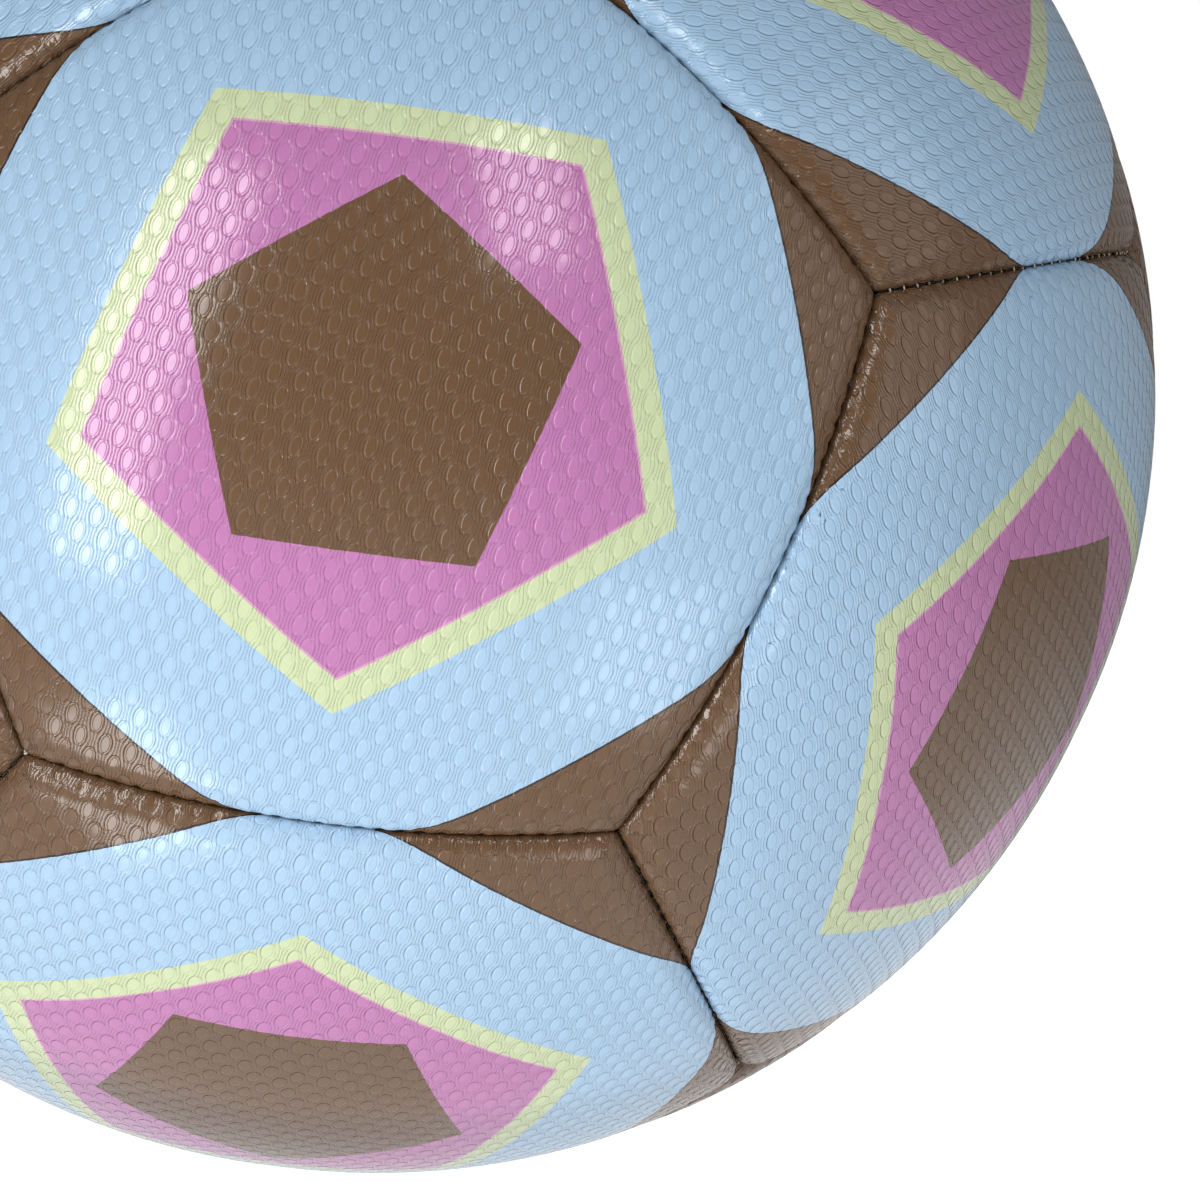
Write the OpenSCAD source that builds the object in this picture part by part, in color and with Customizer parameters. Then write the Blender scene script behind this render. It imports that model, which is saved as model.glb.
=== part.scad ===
// Futsal ball: twelve stitched pentagon panels over a low-bounce bladder with a needle valve.
// The origin is the ball's centre. The first panel faces -Y and the valve faces +Y.

/* [Ball] */
// Outside diameter over the panels
ball_d = 202; // [194:0.5:210]
// Turn of the panels about the valve's axis, in degrees
panel_roll = 10.4; // [0:0.1:72]

/* [Panels] */
// Thickness of the moulded skin
skin_t = 1.1; // [0.8:0.1:1.5]
// Thickness of the foam behind the skin
foam_t = 2.6; // [1.5:0.1:4]
// Thickness of the cloth plies behind the foam
lining_t = 1.6; // [0.8:0.1:2.5]
// Radius of a panel's edge where it rolls down into the seam
edge_r = 3.6; // [3:0.1:4.5]
// Glue line between two layers
glue_t = 0.05; // [0.03:0.01:0.1]

/* [Seams] */
// Thickness of the sewing thread
thread_d = 0.6; // [0.4:0.05:0.8]
// Space between the thread and each of the two edges that it joins
thread_clearance = 0.05; // [0.03:0.01:0.1]
// Depth of the thread below the ball's surface
thread_depth = 4; // [3:0.1:4.8]
// Length of seam without thread at each corner
thread_end = 2; // [1.5:0.1:5]

/* [Bladder] */
// Wall of the rubber bladder
bladder_t = 0.9; // [0.6:0.1:2]
// Thickness of the felt that deadens the bounce
felt_t = 8; // [3:0.5:20]

/* [Valve] */
// Outside diameter of the valve's stem
stem_d = 9; // [8:0.1:11]
// Length of the stem
stem_l = 19; // [16:0.5:24]
// Depth of the stem's face below the ball's surface
stem_recess = 0.5; // [0.3:0.1:1]
// Round on the rim of the stem's face
stem_round = 0.8; // [0.4:0.1:1.2]
// Space between the stem and the holes that it passes
stem_clearance = 0.1; // [0.05:0.01:0.25]
// Diameter of the flange that is vulcanised to the bladder
flange_d = 26; // [18:0.5:32]
// Thickness of the flange
flange_t = 1.6; // [1:0.1:2.5]
// Diameter of the plug that holds the needle's channel
core_d = 4.8; // [4:0.1:5.4]
// Length of the plug below its head
core_l = 12; // [10.5:0.1:14]
// Diameter of the plug's head
head_d = 6.4; // [5.8:0.1:6.8]
// Thickness of the plug's head
head_t = 1.4; // [1:0.1:2]
// Space between the plug and the stem
core_clearance = 0.04; // [0.02:0.01:0.08]
// Diameter of the needle's channel
needle_d = 2.1; // [1.8:0.05:2.4]
// Depth of the needle's channel below the plug's face
needle_depth = 10; // [8:0.1:10.4]
// Width and depth of the funnel that leads the needle in
funnel_w = 0.6; // [0.3:0.1:0.8]

/* [Hidden] */
$fn = 120;
// A panel's centre to its neighbour's centre, and to its own edges, as angles at the ball's centre
panel_tilt = acos(1 / sqrt(5));
edge_tilt = panel_tilt / 2;
// Length of one seam as an angle
seam_span = acos(sqrt(5) / 3);
fifth = 360 / 5;

ball_r = ball_d / 2;
seam_gap = thread_d + 2 * thread_clearance;
// What lies in a panel's cup stands back this far from the middle of the seam
wall_inset = seam_gap / 2 + skin_t + glue_t;
// An edge's arc is this much larger than a tangent one, so that it crosses the skin's faces
edge_cross = 0.06;
foam_r = ball_r - skin_t - glue_t;
lining_r = foam_r - foam_t - glue_t;
cover_in_r = lining_r - lining_t;
bladder_r = cover_in_r - glue_t;
bladder_in_r = bladder_r - bladder_t;
felt_r = bladder_in_r - glue_t;
stem_top = ball_r - stem_recess;
// Cuts run this far past what they cut, and this angle past a seam's corners
over = 5;
past_corner = 4;

panels = [1:12];
back = 12;
// The panels lie in four rows: the front one, the ring round it, the ring round the back one, the back one
function row(i) = i == 1 ? 0 : i <= 6 ? 1 : i <= 11 ? 2 : 3;
row_start = [1, 2, 7, back];
row_tilt = [0, panel_tilt, 180 - panel_tilt, 180];
row_turn = [0, fifth / 2, 0, 0];
row_spin = [0, 0, fifth / 2, 0];
// The seams that a panel of each row counts as its own, so that every seam of the ball is sewn once
row_seams = [[0:4], [0, 1, 4], [0], [0:4]];

function two_digits(i) = str(i < 10 ? "0" : "", i);
function panel_node(layer, i) = str(layer, "_", two_digits(i));
PANEL_NODES = [for (layer = ["cover", "foam", "lining"], i = panels) panel_node(layer, i)];
INNER_NODES = ["seam_thread", "bladder", "low_bounce_felt", "valve_housing", "valve_core"];

// Puts a panel that is drawn about +Z, with a corner towards +X, in its place on the ball
module at_panel(i) {
  r = row(i);
  rotate([90, 0, 0])
    rotate([0, 0, panel_roll + row_turn[r] + fifth * (i - row_start[r])])
      rotate([0, row_tilt[r], 0])
        rotate([0, 0, row_spin[r]])
          children();
}

// Turns a shape so that +Z points out of a panel square to the plane of one of its seams
module at_seam(k) {
  rotate([0, 0, fifth * (k + 0.5)])
    rotate([0, 90 + edge_tilt, 0])
      children();
}

// Sweeps a profile along one seam, as far as an angle to each side of the seam's middle
module along_seam(half_angle) {
  rotate([0, 0, 180 - half_angle])
    rotate_extrude(angle = 2 * half_angle)
      children();
}

// What is cut away along one seam: all beyond the panel's wall, and the corner over its rolled edge
module seam_cut(r, inset, round_r) {
  centre_z = -inset - round_r;
  centre_x = sqrt(pow(r - round_r, 2) - pow(centre_z, 2));
  reach = r + over;
  translate([-reach, -reach, -inset]) cube([2 * reach, 2 * reach, reach]);
  along_seam(seam_span / 2 + past_corner)
    difference() {
      translate([centre_x, centre_z]) square([reach - centre_x, round_r + over]);
      translate([centre_x, centre_z]) circle(round_r + edge_cross);
    }
}

// A five-sided piece of the ball out to radius r, with rolled edges, standing back from its seams
module pentagon(r, inset, round_r) {
  difference() {
    sphere(r);
    for (k = [0:4]) at_seam(k) seam_cut(r, inset, round_r);
  }
}

// The hole in the back panel's layers that the valve's stem passes
module stem_hole() {
  cylinder(d = stem_d + 2 * stem_clearance, h = ball_r + over);
}

// The skin of one panel: a shallow cup, whose turned-in walls are the seam allowance
module cover(i) {
  color("skyblue")
    at_panel(i)
      difference() {
        pentagon(ball_r, seam_gap / 2, edge_r);
        pentagon(ball_r - skin_t, seam_gap / 2 + skin_t, edge_r - skin_t);
        sphere(cover_in_r);
        if (i == back) stem_hole();
      }
}

// The foam in the cup
module foam(i) {
  color("whitesmoke")
    at_panel(i)
      difference() {
        pentagon(foam_r, wall_inset, edge_r - skin_t - glue_t);
        sphere(foam_r - foam_t);
        if (i == back) stem_hole();
      }
}

// The cloth plies behind the foam, level with the ends of the turned-in walls
module lining(i) {
  color("linen")
    at_panel(i)
      difference() {
        sphere(lining_r);
        sphere(cover_in_r);
        for (k = [0:4])
          at_seam(k) translate([-ball_r, -ball_r, -wall_inset]) cube([2 * ball_r, 2 * ball_r, ball_r]);
        if (i == back) stem_hole();
      }
}

// The thread of every seam, run between the two turned-in walls that it pulls together
module seam_thread() {
  line_r = ball_r - thread_depth;
  half = seam_span / 2 - thread_end / line_r * 180 / PI;
  color("wheat")
    for (i = panels, k = row_seams[row(i)])
      at_panel(i)
        at_seam(k)
          along_seam(half)
            translate([line_r, 0]) circle(d = thread_d);
}

// The air-tight rubber bladder
module bladder() {
  color("dimgray")
    at_panel(back)
      difference() {
        sphere(bladder_r);
        sphere(bladder_in_r);
        cylinder(d = stem_d + 2 * glue_t, h = ball_r);
      }
}

// The felt inside the bladder, open round the valve's flange
module low_bounce_felt() {
  color("lightgray")
    at_panel(back)
      difference() {
        sphere(felt_r);
        sphere(felt_r - felt_t);
        cylinder(d = flange_d + 2 * stem_clearance, h = ball_r);
      }
}

// The moulded stem with a rounded rim, its flange on the bladder's inner face, and the plug's seat
module valve_housing() {
  seat_d = head_d + 2 * core_clearance;
  color("darkslategray")
    at_panel(back)
      difference() {
        union() {
          translate([0, 0, stem_top - stem_l]) cylinder(d = stem_d, h = stem_l - stem_round);
          translate([0, 0, stem_top - stem_round])
            cylinder(d1 = stem_d, d2 = stem_d - 2 * stem_round, h = stem_round);
          difference() {
            intersection() {
              sphere(felt_r);
              cylinder(d = flange_d, h = ball_r);
            }
            sphere(felt_r - flange_t);
          }
        }
        translate([0, 0, stem_top - stem_l - over])
          cylinder(d = core_d + 2 * core_clearance, h = stem_l + 2 * over);
        translate([0, 0, stem_top - head_t - core_clearance]) cylinder(d = seat_d, h = head_t + over);
      }
}

// The plug that closes the valve: a flat head, a tapered tip and the needle's blind channel
module valve_core() {
  tip_l = core_d / 2;
  shank_l = core_l - tip_l;
  color("black")
    at_panel(back)
      translate([0, 0, stem_top])
        difference() {
          union() {
            translate([0, 0, -head_t]) cylinder(d = head_d, h = head_t);
            translate([0, 0, -head_t - shank_l]) cylinder(d = core_d, h = shank_l + head_t / 2);
            translate([0, 0, -head_t - core_l]) cylinder(d1 = core_d / 2, d2 = core_d, h = tip_l);
          }
          translate([0, 0, -needle_depth]) cylinder(d = needle_d, h = needle_depth + over);
          translate([0, 0, -funnel_w]) cylinder(d1 = needle_d, d2 = needle_d + 2 * funnel_w, h = funnel_w);
        }
}

for (i = panels) {
  cover(i);
  foam(i);
  lining(i);
}
seam_thread();
bladder();
low_bounce_felt();
valve_housing();
valve_core();
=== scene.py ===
import math

import bpy
import numpy as np
from mathutils import Matrix, Quaternion, Vector


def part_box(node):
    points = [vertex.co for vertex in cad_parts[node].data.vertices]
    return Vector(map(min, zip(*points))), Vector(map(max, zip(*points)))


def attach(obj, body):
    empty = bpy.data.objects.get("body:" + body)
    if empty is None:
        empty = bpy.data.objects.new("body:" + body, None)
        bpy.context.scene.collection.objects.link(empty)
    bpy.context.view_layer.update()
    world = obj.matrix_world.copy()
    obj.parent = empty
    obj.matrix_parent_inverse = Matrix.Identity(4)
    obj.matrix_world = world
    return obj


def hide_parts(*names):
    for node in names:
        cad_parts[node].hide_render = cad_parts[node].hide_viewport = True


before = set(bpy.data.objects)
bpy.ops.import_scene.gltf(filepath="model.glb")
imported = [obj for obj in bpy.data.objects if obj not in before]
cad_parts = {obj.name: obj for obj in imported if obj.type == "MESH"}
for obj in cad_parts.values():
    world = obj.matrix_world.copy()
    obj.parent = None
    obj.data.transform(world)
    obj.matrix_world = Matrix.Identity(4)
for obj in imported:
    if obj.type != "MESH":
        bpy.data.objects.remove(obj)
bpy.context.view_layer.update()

# Camera
# A long lens stands 0.9 m from the ball's centre, a touch below the front panel's axis.
# It aims right of the centre and below it, so that the ball runs out of the picture at the top left.
MM = 0.001
camera_from = Vector((-1.8, -902, -10.5)) * MM
camera_to = Vector((29.3, 0, -27)) * MM
sensor_mm, lens_mm = 36, 208.5
clip_near, clip_far = 0.05, 100
bpy.ops.object.select_all(action="DESELECT")
bpy.ops.object.camera_add(location=camera_from)
camera = bpy.context.object
camera.name = "camera"
camera.rotation_euler = (camera_to - camera_from).to_track_quat("-Z", "Y").to_euler()
camera.data.sensor_width = sensor_mm
camera.data.lens = lens_mm
camera.data.clip_start = clip_near
camera.data.clip_end = clip_far
bpy.context.scene.camera = camera

# Studio
# The ball stands near the front edge of a white painted board, in a white surround that also lights it
# from below. A tall soft box left of the camera and a small one at the right give the highlights, and
# the other boxes and a card light the underside, the right side and the back.
ball_r = -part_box("cover_01")[0].y
# The surround's light behind the camera, behind the ball and from below, and the directions at which
# one has given way to the next
room_light, sweep_light, below_light = 0.13, 0.24, 0.60
room_y, sweep_y = -0.4, 0.5
below_start_z, below_full_z = -0.1, -0.5


def linear(hex_colour):
    """A colour written as sRGB hex, as the linear values that a shader takes."""
    parts = [int(hex_colour[i:i + 2], 16) / 255 for i in (1, 3, 5)]
    return tuple(x / 12.92 if x <= 0.04045 else ((x + 0.055) / 1.055) ** 2.4 for x in parts) + (1.0,)


def add(tree, kind, inputs=(), **settings):
    """Adds a node. Its inputs, in order or by name, are each a node, a socket or a value."""
    made = tree.nodes.new("ShaderNode" + kind)
    for name, value in settings.items():
        setattr(made, name, value)
    for key, given in inputs.items() if isinstance(inputs, dict) else enumerate(inputs):
        if isinstance(given, bpy.types.Node):
            given = given.outputs[0]
        if isinstance(given, bpy.types.NodeSocket):
            tree.links.new(given, made.inputs[key])
        else:
            made.inputs[key].default_value = given
    return made


def new_material(name):
    """An empty material, and its node tree."""
    made = bpy.data.materials.new(name)
    made.use_nodes = True
    made.node_tree.nodes.clear()
    return made, made.node_tree


def finish_material(tree, shader):
    """Ends a material in a surface shader."""
    add(tree, "OutputMaterial", [shader])


world = bpy.data.worlds.new("white_surround")
bpy.context.scene.world = world
world.use_nodes = True
tree = world.node_tree
direction = add(tree, "SeparateXYZ", [add(tree, "TexCoord").outputs["Generated"]])
surround = add(tree, "MapRange", {0: direction.outputs["Y"], 1: room_y, 2: sweep_y,
                                  3: room_light, 4: sweep_light})
below = add(tree, "MapRange", {0: direction.outputs["Z"], 1: below_start_z, 2: below_full_z,
                               3: 0.0, 4: below_light})
surround = add(tree, "Math", [surround, below], operation="ADD")
# Behind the ball the picture itself is pure white
seen = add(tree, "LightPath").outputs["Is Camera Ray"]
surround = add(tree, "Math", [surround, seen], operation="MAXIMUM")
tree.links.new(surround.outputs[0], tree.nodes["Background"].inputs["Strength"])
tree.nodes["Background"].inputs["Color"].default_value = linear("#ffffff")
bpy.context.scene.view_settings.view_transform = "Standard"
bpy.context.scene.cycles.max_bounces = 5
bpy.context.scene.cycles.diffuse_bounces = 2

floor_size, floor_front, floor_gap = 6.0, -0.05, 0.05 * MM
floor_y = floor_front + floor_size / 2
bpy.ops.mesh.primitive_plane_add(size=floor_size, location=(0, floor_y, -ball_r - floor_gap))
floor = bpy.context.object
floor.name = "floor"
# White board: matt, with faint brush marks. It glows though it is no lamp, and is pure white in the
# picture.
# Under the ball its glow is a painted pool of light, dimmer than that, which fades with the distance from
# the ball's foot.
board_light, board_light_far = 0.74, 0.18
pool_full, pool_end = 0.14, 0.38
brush_marks = 25 * MM
board, tree = new_material("glowing_white_board")
on_board = add(tree, "TexCoord").outputs["Object"]
marks = add(tree, "TexNoise", {"Vector": on_board, "Scale": 1 / brush_marks})
tone = add(tree, "Mix", {0: marks.outputs["Fac"], 6: linear("#707070"), 7: linear("#787878")},
           data_type="RGBA")
seen = add(tree, "LightPath").outputs["Is Camera Ray"]
from_ball = add(tree, "VectorMath", [on_board, (0, -floor_y, 0)], operation="DISTANCE")
pool = add(tree, "MapRange", {0: from_ball.outputs["Value"], 1: pool_full, 2: pool_end,
                              3: board_light, 4: board_light_far})
glow = add(tree, "Math", [pool, seen], operation="MAXIMUM")
matt = add(tree, "BsdfPrincipled", {"Base Color": tone.outputs[2], "Roughness": 0.9,
                                    "Emission Strength": glow.outputs[0],
                                    "Emission Color": linear("#ffffff")})
finish_material(tree, matt)
floor.data.materials.append(board)

# Each box's place, its width and height, its watts, and its lean to one side in degrees
soft_boxes = (
    ("tall_box", (-0.62, -1.05, 0.06), (0.30, 1.25), 9.2, 20),
    ("small_box", (0.38, -1.05, 0.50), (0.24, 0.42), 2.0, 0),
    ("low_box_left", (-0.34, -0.31, -0.54), (0.22, 0.26), 0.9, 0),
    ("low_box_right", (0.42, -0.48, -0.42), (0.26, 0.26), 0.5, 0),
    ("right_card", (0.75, -0.25, 0.18), (0.50, 0.60), 0.7, 0),
    ("back_box", (-0.55, 0.95, 0.65), (0.60, 0.60), 8.0, 0),
)
for name, place, (wide, high), watts, lean in soft_boxes:
    bpy.ops.object.light_add(type="AREA", location=place)
    box = bpy.context.object
    box.name = name
    aim = (-Vector(place)).to_track_quat("-Z", "Y") @ Quaternion((0, 0, 1), math.radians(-lean))
    box.rotation_euler = aim.to_euler()
    box.data.shape = "RECTANGLE"
    box.data.size, box.data.size_y = wide, high
    box.data.energy = watts
    box.visible_camera = False

# Bladder and its felt
# A butyl ball that holds the air, with needled felt inside it that deadens the bounce.
# Both are out of sight under the panels.
talc_blotch = 25 / 3 * MM
felt_fibre, felt_fuzz = 10 / 9 * MM, 0.3 * MM


def dress(node_name, finish):
    """Gives a CAD node its finish."""
    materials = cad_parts[node_name].data.materials
    materials.clear()
    materials.append(finish)


# Butyl rubber, dusted with talc in its mould: dark and matt, with paler blotches
rubber, tree = new_material("butyl_rubber")
on_ball = add(tree, "TexCoord").outputs["Object"]
talc = add(tree, "TexNoise", {"Vector": on_ball, "Scale": 1 / talc_blotch, "Detail": 4.0})
tone = add(tree, "Mix", {0: talc.outputs["Fac"], 6: linear("#151515"), 7: linear("#3a3938")},
           data_type="RGBA")
finish_material(tree, add(tree, "BsdfPrincipled", {"Base Color": tone.outputs[2], "Roughness": 0.7}))
dress("bladder", rubber)

# Needled felt: grey fibres in a loose fuzz, with no gloss
felt, tree = new_material("needled_felt")
on_ball = add(tree, "TexCoord").outputs["Object"]
fibre = add(tree, "TexNoise", {"Vector": on_ball, "Scale": 1 / felt_fibre, "Detail": 6.0})
tone = add(tree, "Mix", {0: fibre.outputs["Fac"], 6: linear("#9c9b98"), 7: linear("#d8d6d0")},
           data_type="RGBA")
fuzz = add(tree, "Bump", {"Height": fibre.outputs["Fac"], "Distance": felt_fuzz})
matt = add(tree, "BsdfPrincipled", {"Base Color": tone.outputs[2], "Roughness": 0.95, "Normal": fuzz})
finish_material(tree, matt)
dress("low_bounce_felt", felt)

# Valve
# A moulded rubber stem on the bladder, and the pressed-in plug that a pump's needle goes through.
# Moulding leaves the rubber satin, with a fine grain.
mould_grain, grain_depth = 1 / 3 * MM, 0.03 * MM
valve_rubber, tree = new_material("moulded_valve_rubber")
on_ball = add(tree, "TexCoord").outputs["Object"]
grain = add(tree, "TexNoise", {"Vector": on_ball, "Scale": 1 / mould_grain, "Detail": 3.0})
tone = add(tree, "Mix", {0: grain.outputs["Fac"], 6: linear("#161718"), 7: linear("#26282a")},
           data_type="RGBA")
tooth = add(tree, "Bump", {"Height": grain.outputs["Fac"], "Distance": grain_depth})
satin = add(tree, "BsdfPrincipled", {"Base Color": tone.outputs[2], "Roughness": 0.45, "Normal": tooth})
finish_material(tree, satin)
dress("valve_housing", valve_rubber)
dress("valve_core", valve_rubber)

# Cloth plies and foam
# Four plies of glued cotton and polyester keep a panel from stretching, and the foam in front of them
# softens it. Both are out of sight inside the skins.
foam_cell = 2 / 3 * MM
# A wave texture of this scale has its bands about 0.8 mm apart, as the yarns are
yarn_scale = 400.0
# Glued cotton: a plain weave, stiff and without gloss
cloth, tree = new_material("glued_cotton_plies")
on_ball = add(tree, "TexCoord").outputs["Object"]
weft = add(tree, "TexWave", {"Vector": on_ball, "Scale": yarn_scale}, bands_direction="X")
warp = add(tree, "TexWave", {"Vector": on_ball, "Scale": yarn_scale}, bands_direction="Z")
weave = add(tree, "Math", [weft.outputs["Fac"], warp.outputs["Fac"]], operation="MULTIPLY")
tone = add(tree, "Mix", {0: weave, 6: linear("#b9b09c"), 7: linear("#e2dac6")}, data_type="RGBA")
finish_material(tree, add(tree, "BsdfPrincipled", {"Base Color": tone.outputs[2], "Roughness": 0.9}))

# Closed-cell foam: off-white, with the cells as a fine change of tone
sponge, tree = new_material("closed_cell_foam")
on_ball = add(tree, "TexCoord").outputs["Object"]
cells = add(tree, "TexVoronoi", {"Vector": on_ball, "Scale": 1 / foam_cell})
tone = add(tree, "Mix", {0: cells.outputs["Distance"], 6: linear("#f2f1ec"), 7: linear("#dcdad2")},
           data_type="RGBA")
finish_material(tree, add(tree, "BsdfPrincipled", {"Base Color": tone.outputs[2], "Roughness": 0.8}))
for i in range(1, 13):
    dress(f"lining_{i:02d}", cloth)
    dress(f"foam_{i:02d}", sponge)

# Panel skins
# Twelve pentagons of printed TPU film. The sheet is embossed with staggered ovals before the panels are
# cut, then each panel's edge is rolled down and turned in, where the thread pulls it against its neighbour.
fifth = math.radians(72)
panel_tilt = math.acos(1 / math.sqrt(5))
edge_tilt = panel_tilt / 2
corner_tilt = math.atan(math.tan(edge_tilt) / math.cos(fifth / 2))
# Half the angle between two seams of a panel where they meet
corner_half = math.radians(60)
oval_pitch, oval_row = 3.35 * MM, 2.5 * MM
oval_wide, oval_long, oval_sides = 1.45 * MM, 2.65 * MM, 12
# The ovals' long axis, from a corner's direction
oval_lean = math.radians(62.1)
groove_half, groove_depth = 0.17 * MM, 0.030 * MM
pillow_edge, pillow_top = 0.018 * MM, 0.008 * MM
roll_wide, roll_deep, wall_deep = 4.5 * MM, 2.2 * MM, 0.5 * MM
seam_half, corner_soft = 0.05 * MM, 0.28 * MM
crown_start, crown_dip = 10 * MM, 0.8 * MM
stitches, stitch_pitch = 29, 2.45 * MM
stitch_open, stitch_pull, pull_reach = 0.22 * MM, 0.18 * MM, 2.2 * MM
# How narrow a stitch's hollow is, how close to the seam it gapes, and how far the emboss goes down the roll
hollow_power, gape_power, fade_power = 3, 6, 3

# What the flat sheet needs past the middle of a seam, for the roll and the wall under it
roll_sheet = roll_wide * math.pi / 2
allowance = roll_sheet + wall_deep * roll_wide / roll_deep - roll_wide - seam_half
corner_allowance = allowance / math.sin(corner_half)

# One oval: a pillow in a groove, and its share of the sheet round it.
# The loops are inset here, and get their places below.
inset_step = 0.2 * MM
bpy.ops.object.select_all(action="DESELECT")
bpy.ops.mesh.primitive_circle_add(vertices=oval_sides, radius=oval_pitch / 2, fill_type="NGON")
sheet = bpy.context.object
sheet.name = "embossed_sheet"
bpy.ops.object.mode_set(mode="EDIT")
bpy.ops.mesh.select_all(action="SELECT")
for n in range(3):
    bpy.ops.mesh.inset(thickness=inset_step)
    if n != 1:
        # The groove's two rims stay crisp when the sheet is shaded smooth, and its bottom is round
        bpy.ops.mesh.region_to_loop()
        bpy.ops.mesh.mark_sharp()
        bpy.ops.mesh.loop_to_region()
bpy.ops.mesh.poke()
bpy.ops.object.mode_set(mode="OBJECT")
# An oval's share of the staggered sheet has six sides, and a point here for each point of the oval
half_pitch = oval_pitch / 2
share = (half_pitch ** 2 + oval_row ** 2) / 2
low, top = (share - half_pitch ** 2) / oval_row, share / oval_row
right_side = [(half_pitch, 0), (half_pitch, low), (half_pitch / 2, oval_row / 2)]
upper = right_side + [(0, top)] + [(-x, y) for x, y in reversed(right_side)]
cell_outline = upper + [(x, -y) for x, y in reversed(upper[1:-1])]
# How far each loop lies outside the oval, and its height
oval_loops = ((groove_half, 0.0), (0.0, -groove_depth), (-groove_half, -pillow_edge))
# A loop's points are counted from +X, which a rounded angle may miss by a little
count_from = 0.1
vertices = sheet.data.vertices
for n in range(4):
    ring = list(vertices[n * oval_sides:(n + 1) * oval_sides])
    ring.sort(key=lambda v: (math.atan2(v.co.y, v.co.x) + count_from) % math.tau)
    for i, v in enumerate(ring):
        if n == 0:
            v.co = (*cell_outline[i], 0)
        else:
            beyond, height = oval_loops[n - 1]
            turn = math.tau * i / oval_sides
            v.co = ((oval_wide / 2 + beyond) * math.cos(turn),
                    (oval_long / 2 + beyond) * math.sin(turn), height)
vertices[4 * oval_sides].co = (0, 0, pillow_top)

# The sheet: a staggered pair of ovals, repeated across and along
weld = 0.01 * MM
bpy.ops.object.mode_set(mode="EDIT")
bpy.ops.mesh.select_all(action="SELECT")
bpy.ops.mesh.duplicate_move(TRANSFORM_OT_translate={"value": (half_pitch, oval_row, 0)})
bpy.ops.object.mode_set(mode="OBJECT")
sheet_reach = ball_r * corner_tilt + corner_allowance
columns = 2 * math.ceil(sheet_reach / oval_pitch) + 1
rows = 2 * math.ceil(sheet_reach / (2 * oval_row)) + 1
for step, count in (((oval_pitch, 0, 0), columns), ((0, 2 * oval_row, 0), rows)):
    repeat = sheet.modifiers.new("repeat", "ARRAY")
    repeat.count = count
    repeat.use_relative_offset = False
    repeat.use_constant_offset = True
    repeat.constant_offset_displace = step
    bpy.ops.object.modifier_apply(modifier=repeat.name)
bpy.ops.object.mode_set(mode="EDIT")
bpy.ops.mesh.select_all(action="SELECT")
bpy.ops.transform.translate(value=(-(columns // 2) * oval_pitch, -(rows // 2) * 2 * oval_row, 0))
bpy.ops.mesh.remove_doubles(threshold=weld)
bpy.ops.object.mode_set(mode="OBJECT")


def read_points(mesh):
    """A mesh's points as rows."""
    flat = np.empty(3 * len(mesh.vertices))
    mesh.vertices.foreach_get("co", flat)
    return flat.reshape(-1, 3)


# The sheet laid on the ball about +Z, with the ovals turned to their lean
points = read_points(sheet.data)
turn = oval_lean - math.pi / 2
x = points[:, 0] * math.cos(turn) - points[:, 1] * math.sin(turn)
y = points[:, 0] * math.sin(turn) + points[:, 1] * math.cos(turn)
reach = np.hypot(x, y)
safe = np.maximum(reach, 1e-9)  # the sheet's middle has no heading
tilt = reach / ball_r
outward = np.stack([np.sin(tilt) * x / safe, np.sin(tilt) * y / safe, np.cos(tilt)], 1)
laid = outward * (ball_r + points[:, 2:])
sheet.data.vertices.foreach_set("co", laid.ravel())
sheet.data.update()


def tilted(tilt, turn):
    """The direction that leans from +Z by a tilt, towards a turn."""
    return Vector((math.sin(tilt) * math.cos(turn), math.sin(tilt) * math.sin(turn), math.cos(tilt)))


# The sheet cut past the five seams and the five corners
seam_turns = [fifth * (k + 0.5) for k in range(5)]
seam_middles = [tilted(edge_tilt, turn) for turn in seam_turns]
seam_inwards = [tilted(edge_tilt - math.pi / 2, turn) for turn in seam_turns]
seam_alongs = [middle.cross(inward) for middle, inward in zip(seam_middles, seam_inwards)]
corner_cut = corner_tilt + corner_allowance / ball_r - corner_soft / ball_r
cuts = [(-allowance * inward, inward) for inward in seam_inwards]
cuts += [(Vector(), tilted(corner_cut - math.pi / 2, fifth * k)) for k in range(5)]
bpy.ops.object.mode_set(mode="EDIT")
for point, inward in cuts:
    bpy.ops.mesh.select_all(action="SELECT")
    bpy.ops.mesh.bisect(plane_co=point, plane_no=inward, clear_inner=True)
bpy.ops.mesh.select_all(action="SELECT")
bpy.ops.mesh.delete_loose()
bpy.ops.object.mode_set(mode="OBJECT")

# The edge rolled down into the seam and turned in, with the stitches pulling small hollows in it
inwards, middles, alongs = np.array(seam_inwards), np.array(seam_middles), np.array(seam_alongs)


def from_outline(directions):
    """Distance inside the panel's soft-cornered outline, the way in, the distance's growth, the seam."""
    each = ball_r * np.arcsin(np.clip(directions @ inwards.T, -1, 1))
    least = each.min(1, keepdims=True)
    weight = np.exp((least - each) / corner_soft)
    total = weight.sum(1, keepdims=True)
    distance = (least - corner_soft * np.log(total))[:, 0]
    way = (weight / total) @ inwards
    way -= directions * (way * directions).sum(1, keepdims=True)
    growth = np.linalg.norm(way, axis=1)
    return distance, way / growth[:, None], growth, each.argmin(1)


points = read_points(sheet.data)
radius = np.linalg.norm(points, axis=1)
out = points / radius[:, None]
relief = radius - ball_r
tilt = np.arccos(np.clip(out[:, 2], -1, 1))
around = np.arctan2(out[:, 1], out[:, 0])
chart = np.stack([tilt * np.cos(around), tilt * np.sin(around)], 1) * ball_r
inside, _, _, side = from_outline(out)
rolled = np.maximum(roll_wide + seam_half - inside, 0)
bend = np.minimum(rolled / roll_wide, math.pi / 2)
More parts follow.
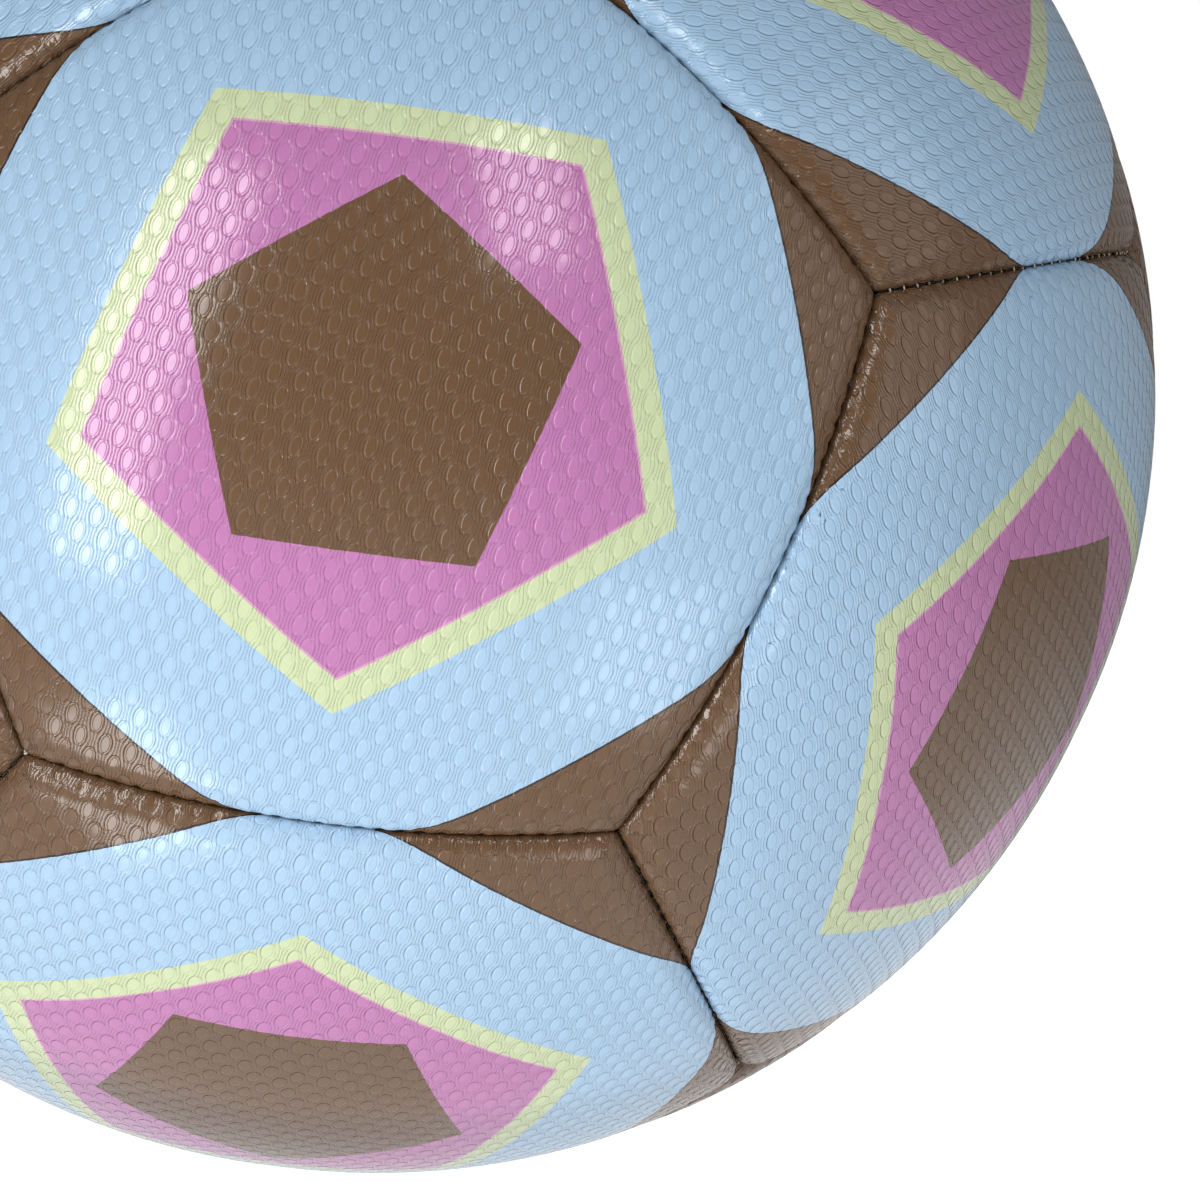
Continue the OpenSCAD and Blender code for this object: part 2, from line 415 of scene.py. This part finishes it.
# 1 at a stitch and 0 between two, and fading out where the sewing ends
along = ball_r * np.arctan2((out * alongs[side]).sum(1), (out * middles[side]).sum(1))
stitch = ((1 + np.cos(math.tau * along / stitch_pitch)) / 2) ** hollow_power
stitch *= np.clip((stitches * stitch_pitch / 2 - np.abs(along)) / stitch_pitch, 0, 1)
# Where a point ends up: how far inside the outline, and how far below the panel's face
kept = roll_wide + seam_half - roll_wide * np.sin(bend) + stitch_open * stitch * np.sin(bend) ** gape_power
drop = roll_deep * (1 - np.cos(bend)) + np.maximum(rolled - roll_sheet, 0) * roll_deep / roll_wide
drop += stitch_pull * stitch * np.exp(-(np.maximum(inside, 0) / pull_reach) ** 2)
# The points are turned about the ball's centre in steps, until each lies as far inside as it should
settle_steps = 8
moved = out.copy()
for step in range(settle_steps):
    distance, way_in, growth, _ = from_outline(moved)
    turn = np.where(rolled > 0, kept - distance, 0) / growth / ball_r
    moved += way_in * turn[:, None]
    moved /= np.linalg.norm(moved, axis=1)[:, None]
# The middle of a panel is a little flatter than the ball
crown = np.clip((inside - crown_start) / (ball_r * edge_tilt - crown_start), 0, 1)
skin_r = ball_r - crown_dip * crown ** 2 * (3 - 2 * crown) - drop
facing = moved * (roll_wide * np.cos(bend))[:, None] - way_in * (roll_deep * np.sin(bend))[:, None]
facing /= np.linalg.norm(facing, axis=1)[:, None]
relief *= 1 - np.clip(rolled / roll_sheet, 0, 1) ** fade_power
formed = moved * skin_r[:, None] + facing * relief[:, None]
sheet.data.vertices.foreach_set("co", formed.ravel())
sheet.data.update()
# Two maps in millimetres: the flat sheet's own, and the way along the nearest seam and inside it
corner_points = np.empty(len(sheet.data.loops), int)
sheet.data.loops.foreach_get("vertex_index", corner_points)
for name, places in (("chart", chart), ("seam", np.stack([along, inside], 1))):
    layer = sheet.data.uv_layers.new(name=name)
    layer.data.foreach_set("uv", (places / MM)[corner_points].ravel())
bpy.ops.object.shade_smooth(keep_sharp_edges=True)

# Printed TPU film, pressed in a mould: glossy and a little wavy, so that the soft boxes break up on the
# ovals. All its sizes are in millimetres, as the maps are.
# The print is a pentagon in a pentagon with a border round it, and a patch on each corner.
# The last of these three is no ink: it is the near-black painted shade for deep in the seams
brown, dark_brown, seam_shade = "#70533a", "#3a2c24", "#15120f"
pink, pale_pink, lime, blue = "#c57fb6", "#dba5c4", "#d3dfb2", "#aecfec"
skin, tree = new_material("printed_tpu_film")
chart_mm = add(tree, "UVMap", uv_map="chart").outputs["UV"]
seam_mm = add(tree, "UVMap", uv_map="seam").outputs["UV"]
inside_mm = add(tree, "SeparateXYZ", [seam_mm]).outputs["Y"]
ball_r_mm = ball_r / MM
chart_xy = add(tree, "SeparateXYZ", [chart_mm])
arc_mm = add(tree, "VectorMath", [chart_mm], operation="LENGTH").outputs["Value"]
arc = add(tree, "Math", [arc_mm, ball_r_mm], operation="DIVIDE")
plane_r = add(tree, "Math", [arc], operation="TANGENT")
plane_r = add(tree, "Math", [plane_r, ball_r_mm], operation="MULTIPLY")
heading = add(tree, "Math", [chart_xy.outputs["Y"], chart_xy.outputs["X"]], operation="ARCTAN2")
heading = add(tree, "Math", [heading, fifth / 2], operation="ADD")
folded = add(tree, "Math", [heading, fifth], operation="FLOORED_MODULO")
off_corner = add(tree, "Math", [folded, fifth / 2], operation="SUBTRACT")
off_corner = add(tree, "Math", [off_corner], operation="ABSOLUTE")
off_side = add(tree, "Math", [fifth / 2, off_corner], operation="SUBTRACT")
# The printed edges waver by this much to each side
bleed_per_mm, bleed_wide = 0.9, 0.12
bleed = add(tree, "TexNoise", {"Vector": chart_mm, "Scale": bleed_per_mm, "Detail": 2.0})
waver = add(tree, "Math", [bleed.outputs["Fac"], 2 * bleed_wide, -bleed_wide], operation="MULTIPLY_ADD")
reaches = []
for off in (off_corner, off_side):
    reach = add(tree, "Math", [plane_r, add(tree, "Math", [off], operation="COSINE")], operation="MULTIPLY")
    reaches.append(add(tree, "Math", [reach, waver], operation="ADD"))
to_corner, to_side = reaches
# Where each ink starts, from the panel's middle out
print_steps = (
    (to_side, 20.3, pink),
    (to_corner, 29.8, pale_pink),
    (to_corner, 30.1, lime),
    (to_corner, 34.1, blue),
    (to_corner, 57.6, dark_brown),
    (to_corner, 58.0, brown),
)
ink = linear(brown)
for reach, start, colour in print_steps:
    past = add(tree, "Math", [reach, start], operation="GREATER_THAN")
    ink = add(tree, "Mix", {0: past, 6: ink, 7: linear(colour)}, data_type="RGBA").outputs[2]
# Deep in the seam the film is painted near black: painted shade for the dark gap between the edges
seam_shade_start, seam_shade_full = -1.6, -2.8
deep = add(tree, "MapRange", {0: inside_mm, 1: seam_shade_start, 2: seam_shade_full, 3: 0.0, 4: 1.0})
ink = add(tree, "Mix", {0: deep, 6: ink, 7: linear(seam_shade)}, data_type="RGBA").outputs[2]

# Fine lines in the film that stream round the ovals. They are about 0.4 mm apart on the ball, and are drawn
# coarser here so that they show.
line_pitch, line_height, line_start = 0.56, 0.080, 0.1
line_swerve, line_stray, stray_per_mm = 0.32, 0.25, 0.7
# The lines fade out over the ovals, by a product of two waves that is 1 at an oval's middle. They are gone
# at the first value and full at the second.
near_oval, off_oval = 0.2, -0.1
laid_mm = add(tree, "VectorRotate", [chart_mm, (0, 0, 0), (0, 0, 1), math.pi / 2 - oval_lean])
laid_xy = add(tree, "SeparateXYZ", [laid_mm])
wave_u = add(tree, "Math", [laid_xy.outputs["X"], math.tau * MM / oval_pitch], operation="MULTIPLY")
wave_v = add(tree, "Math", [laid_xy.outputs["Y"], math.pi * MM / oval_row], operation="MULTIPLY")
sine_u = add(tree, "Math", [wave_u], operation="SINE")
cosine_u = add(tree, "Math", [wave_u], operation="COSINE")
cosine_v = add(tree, "Math", [wave_v], operation="COSINE")
swell = add(tree, "Math", [sine_u, cosine_v], operation="MULTIPLY")
stray = add(tree, "TexNoise", {"Vector": chart_mm, "Scale": stray_per_mm, "Detail": 1.0})
stream = add(tree, "Math", [swell, -line_swerve, laid_xy.outputs["X"]], operation="MULTIPLY_ADD")
stream = add(tree, "Math", [stray.outputs["Fac"], line_stray, stream], operation="MULTIPLY_ADD")
stream = add(tree, "Math", [stream, math.tau / line_pitch], operation="MULTIPLY")
lines = add(tree, "Math", [stream], operation="SINE")
ridges = add(tree, "MapRange", {0: lines, 1: line_start, 2: 1.0, 3: 0.0, 4: 1.0},
             interpolation_type="SMOOTHSTEP")
spread = add(tree, "Math", [cosine_u, cosine_v], operation="MULTIPLY")
clear = add(tree, "MapRange", {0: spread, 1: near_oval, 2: off_oval, 3: 0.0, 4: 1.0})
streams = add(tree, "Math", [ridges, clear], operation="MULTIPLY")

# The mould cuts each oval's two rims crisply: thin steps down into the groove and up to the pillow.
# A point's distance from an oval with half axes a is near enough n (n - 1) / g, where n is the length of
# the point divided by a, and g the length of it divided by a twice.
rim_soft, outer_step, inner_step = 0.070, 0.044, 0.050
half_oval = (oval_wide / 2 / MM, oval_long / 2 / MM)
half_cell = (oval_pitch / 2 / MM, oval_row / MM, 1.0)
from_ovals = []
for shift in ((0, 0, 0), half_cell):
    local = add(tree, "VectorMath", [laid_mm, shift], operation="ADD")
    local = add(tree, "VectorMath", [local, half_cell, tuple(-c for c in half_cell)], operation="WRAP")
    lengths = []
    for times in (1, 2):
        shrink = (half_oval[0] ** -times, half_oval[1] ** -times, 0.0)
        divided = add(tree, "VectorMath", [local, shrink], operation="MULTIPLY")
        lengths.append(add(tree, "VectorMath", [divided], operation="LENGTH").outputs["Value"])
    beyond = add(tree, "Math", [lengths[0], 1.0], operation="SUBTRACT")
    beyond = add(tree, "Math", [lengths[0], beyond], operation="MULTIPLY")
    from_ovals.append(add(tree, "Math", [beyond, lengths[1]], operation="DIVIDE"))
from_oval = add(tree, "Math", from_ovals, operation="MINIMUM")
rims = []
for rim, step in ((groove_half / MM, outer_step), (-groove_half / MM, inner_step)):
    within = add(tree, "MapRange", {0: from_oval, 1: rim + rim_soft, 2: rim - rim_soft, 3: 0.0, 4: 1.0},
                 interpolation_type="SMOOTHSTEP")
    rims.append(add(tree, "Math", [within, step], operation="MULTIPLY"))
sunk = add(tree, "Math", [rims[1], rims[0]], operation="SUBTRACT")

# Creases across the rolled edge, and the fine tooth of the film between the ovals
crease_per_mm, crease_start, crease_full, crease_height = (1.6, 0.3, 1.0), 4.5, 1.0, 0.10
tooth_per_mm, tooth_height = 5.0, 0.014
crease_at = add(tree, "Mapping", {"Vector": seam_mm, "Scale": crease_per_mm})
creases = add(tree, "TexNoise", {"Vector": crease_at, "Scale": 1.0, "Detail": 2.0})
near_seam = add(tree, "MapRange", {0: inside_mm, 1: crease_start, 2: crease_full, 3: 0.0, 4: 1.0})
crease = add(tree, "Math", [creases.outputs["Fac"], near_seam], operation="MULTIPLY")
tooth = add(tree, "TexNoise", {"Vector": chart_mm, "Scale": tooth_per_mm, "Detail": 0.0})
tooth = add(tree, "Math", [tooth.outputs["Fac"], clear], operation="MULTIPLY")
height = add(tree, "Math", [streams, line_height], operation="MULTIPLY")
height = add(tree, "Math", [crease, crease_height, height], operation="MULTIPLY_ADD")
height = add(tree, "Math", [tooth, tooth_height, height], operation="MULTIPLY_ADD")
height = add(tree, "Math", [sunk, height], operation="ADD")
pressed = add(tree, "Bump", {"Height": height, "Distance": MM, "Strength": 1.0})

# The gloss is a little uneven. The index is above plain TPU's 1.5, because it is matched to the glints.
film_ior, gloss_best, gloss_least = 1.58, 0.09, 0.13
stray_low, stray_high = 0.3, 0.7
gloss = add(tree, "MapRange", {0: stray.outputs["Fac"], 1: stray_low, 2: stray_high,
                               3: gloss_best, 4: gloss_least})
film = add(tree, "BsdfPrincipled", {"Base Color": ink, "Roughness": gloss.outputs[0], "IOR": film_ior,
                                    "Normal": pressed})
finish_material(tree, film)
sheet.data.materials.append(skin)

# Each panel in its place on the ball, as the source places it: a row's tilt, turn and spin, and its panels.
# A panel is also spun by fifths, so that the ovals' lean changes from panel to panel.
panel_roll = math.radians(10.4)
back = 12
panel_rows = {
    1: (0, 0, 0, 1),
    2: (panel_tilt, fifth / 2, 0, 5),
    7: (math.pi - panel_tilt, 0, fifth / 2, 5),
    back: (math.pi, 0, 0, 1),
}
panel_spins = {1: 0, 2: 1, 3: 3, 4: 2, 5: 4, 6: 1, 7: 0, 8: 2, 9: 4, 10: 1, 11: 3, 12: 2}
panel_places = {}
for first, (tilt, turn, spin, count) in panel_rows.items():
    for n in range(count):
        panel_places[first + n] = (
            Matrix.Rotation(math.pi / 2, 4, "X")
            @ Matrix.Rotation(panel_roll + turn + fifth * n, 4, "Z")
            @ Matrix.Rotation(tilt, 4, "Y")
            @ Matrix.Rotation(spin, 4, "Z")
        )

# The valve lifts the back panel's film a little, and the film is punched round the stem with a rounded rim
valve_lift, valve_lift_r = 0.6 * MM, 10 * MM
hole_r, hole_round, hole_wall = 4.6 * MM, 0.3 * MM, 1.4 * MM
rim_r = hole_r + hole_round
# Faces out to here are cut, with this much play between a cut and a point on it
cut_reach, cut_play = 1.5 * hole_r, 0.001 * MM
hole_corners = 24
hole_turns = [math.tau * n / hole_corners for n in range(hole_corners)]
hole_sides = [Vector((math.cos(turn), math.sin(turn), 0)) for turn in hole_turns]


def select_faces(mesh, reach):
    """Selects the faces inside a many-sided hole of some reach about +Z, and no others."""
    bpy.ops.mesh.select_mode(type="FACE")
    bpy.ops.mesh.select_all(action="DESELECT")
    bpy.ops.object.mode_set(mode="OBJECT")
    within = [max(face.center.dot(way) for way in hole_sides) < reach for face in mesh.polygons]
    mesh.polygons.foreach_set("select", within)
    bpy.ops.object.mode_set(mode="EDIT")


for i, place in panel_places.items():
    panel = bpy.data.objects.new(f"panel_skin_{i:02d}", sheet.data.copy())
    bpy.context.scene.collection.objects.link(panel)
    if i == back:
        points = read_points(panel.data)
        off_axis = np.hypot(points[:, 0], points[:, 1])
        points[:, 2] += valve_lift * np.exp(-(off_axis / valve_lift_r) ** 2)
        panel.data.vertices.foreach_set("co", points.ravel())
        panel.data.update()
        bpy.ops.object.select_all(action="DESELECT")
        panel.select_set(True)
        bpy.context.view_layer.objects.active = panel
        bpy.ops.object.mode_set(mode="EDIT")
        select_faces(panel.data, cut_reach)
        bpy.ops.mesh.hide(unselected=True)
        for way in hole_sides:
            bpy.ops.mesh.select_all(action="SELECT")
            bpy.ops.mesh.bisect(plane_co=way * rim_r, plane_no=way, threshold=cut_play)
        select_faces(panel.data, rim_r)
        bpy.ops.mesh.delete(type="FACE")
        bpy.ops.mesh.select_mode(type="EDGE")
        bpy.ops.mesh.select_non_manifold()
        # The rim is rounded up to a circle, then drawn in and down, then straight down
        for to_r, down in ((rim_r, 0), (hole_r, hole_round), (hole_r, hole_wall)):
            if down:
                bpy.ops.mesh.extrude_region_move()
            bpy.ops.object.mode_set(mode="OBJECT")
            for v in panel.data.vertices:
                if v.select:
                    off_axis = math.hypot(v.co.x, v.co.y)
                    v.co = (v.co.x * to_r / off_axis, v.co.y * to_r / off_axis, v.co.z - down)
            bpy.ops.object.mode_set(mode="EDIT")
        bpy.ops.mesh.reveal(select=False)
        bpy.ops.object.mode_set(mode="OBJECT")
    panel.data.transform(place @ Matrix.Rotation(fifth * panel_spins[i], 4, "Z"))
    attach(panel, "root")
    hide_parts(f"cover_{i:02d}")
bpy.data.objects.remove(sheet)

# Seam thread
# Waxed polyester thread runs in every seam between two turned-in edges, and pulls them together.
# The wax leaves it satin, and its plies show as a fine change of tone.
thread_ply = 0.4 * MM
thread, tree = new_material("waxed_polyester_thread")
on_ball = add(tree, "TexCoord").outputs["Object"]
ply = add(tree, "TexNoise", {"Vector": on_ball, "Scale": 1 / thread_ply, "Detail": 3.0})
tone = add(tree, "Mix", {0: ply.outputs["Fac"], 6: linear("#b9ab95"), 7: linear("#efe8da")},
           data_type="RGBA")
finish_material(tree, add(tree, "BsdfPrincipled", {"Base Color": tone.outputs[2], "Roughness": 0.6}))
dress("seam_thread", thread)

# Stitch loops
# At every hole the thread comes up between the edges in a short loop across the seam.
# It is knotted at the corners, and at every third one the knot shows.
# One seam is sewn slacker, and its loops lie nearer the surface.
loop_thick, loop_long, loop_skew = 0.28 * MM, 0.75 * MM, 0.35
loop_depth, slack_depth, depth_spread = 3.2 * MM, 2.1 * MM, 0.25 * MM
knot_size, knot_fat, knot_every = 0.65 * MM, 1.3, 3
knot_depth, sunk_depth = 2.1 * MM, 3.2 * MM
slack_seams = {(2, 6)}
# The axes of two panels that share a seam are at least this much alike
neighbour_dot = 0.3
# One loop, a unit long, which is stretched to its size where it is laid
bpy.ops.object.select_all(action="DESELECT")
bpy.ops.mesh.primitive_uv_sphere_add(segments=6, ring_count=4, radius=0.5)
loop = bpy.context.object
loop.name = "stitch_loops"
loop_points = read_points(loop.data)
loop_faces = [list(face.vertices) for face in loop.data.polygons]
rng = np.random.default_rng(7)
# The panels' axes, and the pairs of panels that share a seam
axes = {i: (place @ Vector((0, 0, 1, 0))).to_3d().normalized() for i, place in panel_places.items()}
neighbours = [(i, j) for i in axes for j in axes if i < j and axes[i].dot(axes[j]) > neighbour_dot]
made_points, made_faces = [], []


def set_loop(at, across, size):
    """Lays one loop of thread at a point, its length across the seam."""
    up = at.normalized()
    sideways = across.cross(up).normalized()
    turned = np.array([across.normalized() * size[0], sideways * size[1], up * size[1]])
    made_faces.extend([[n + len(made_points) * len(loop_points) for n in face] for face in loop_faces])
    made_points.append(loop_points @ turned + np.array(at))


for i, j in neighbours:
    middle = (axes[i] + axes[j]).normalized()
    across = (axes[i] - axes[j]).normalized()
    run = middle.cross(across)
    depth = slack_depth if (i, j) in slack_seams else loop_depth
    for n in range(stitches):
        turn = (n - (stitches - 1) / 2) * stitch_pitch / ball_r
        level = ball_r - depth - depth_spread * rng.uniform(-1, 1)
        at = (middle * math.cos(turn) + run * math.sin(turn)) * level
        set_loop(at, across + loop_skew * rng.uniform(-1, 1) * run, (loop_long, loop_thick))
corners = [(i, j, k) for i, j in neighbours for k in axes if k > j and {(i, k), (j, k)} <= set(neighbours)]
for n, (i, j, k) in enumerate(corners):
    corner = (axes[i] + axes[j] + axes[k]).normalized()
    depth = sunk_depth if n % knot_every else knot_depth
    for across in (axes[i] - axes[j], axes[j] - axes[k], axes[k] - axes[i]):
        aside = across.cross(corner).normalized() * knot_size / 4
        at = corner * (ball_r - depth - depth_spread * rng.uniform(-1, 1)) + aside
        set_loop(at, across, (knot_size, knot_fat * loop_thick))
loops_mesh = bpy.data.meshes.new("stitch_loops")
loops_mesh.from_pydata(np.concatenate(made_points).tolist(), [], made_faces)
loop.data = loops_mesh
loops_mesh.materials.append(thread)
bpy.ops.object.shade_smooth()
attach(loop, "root")
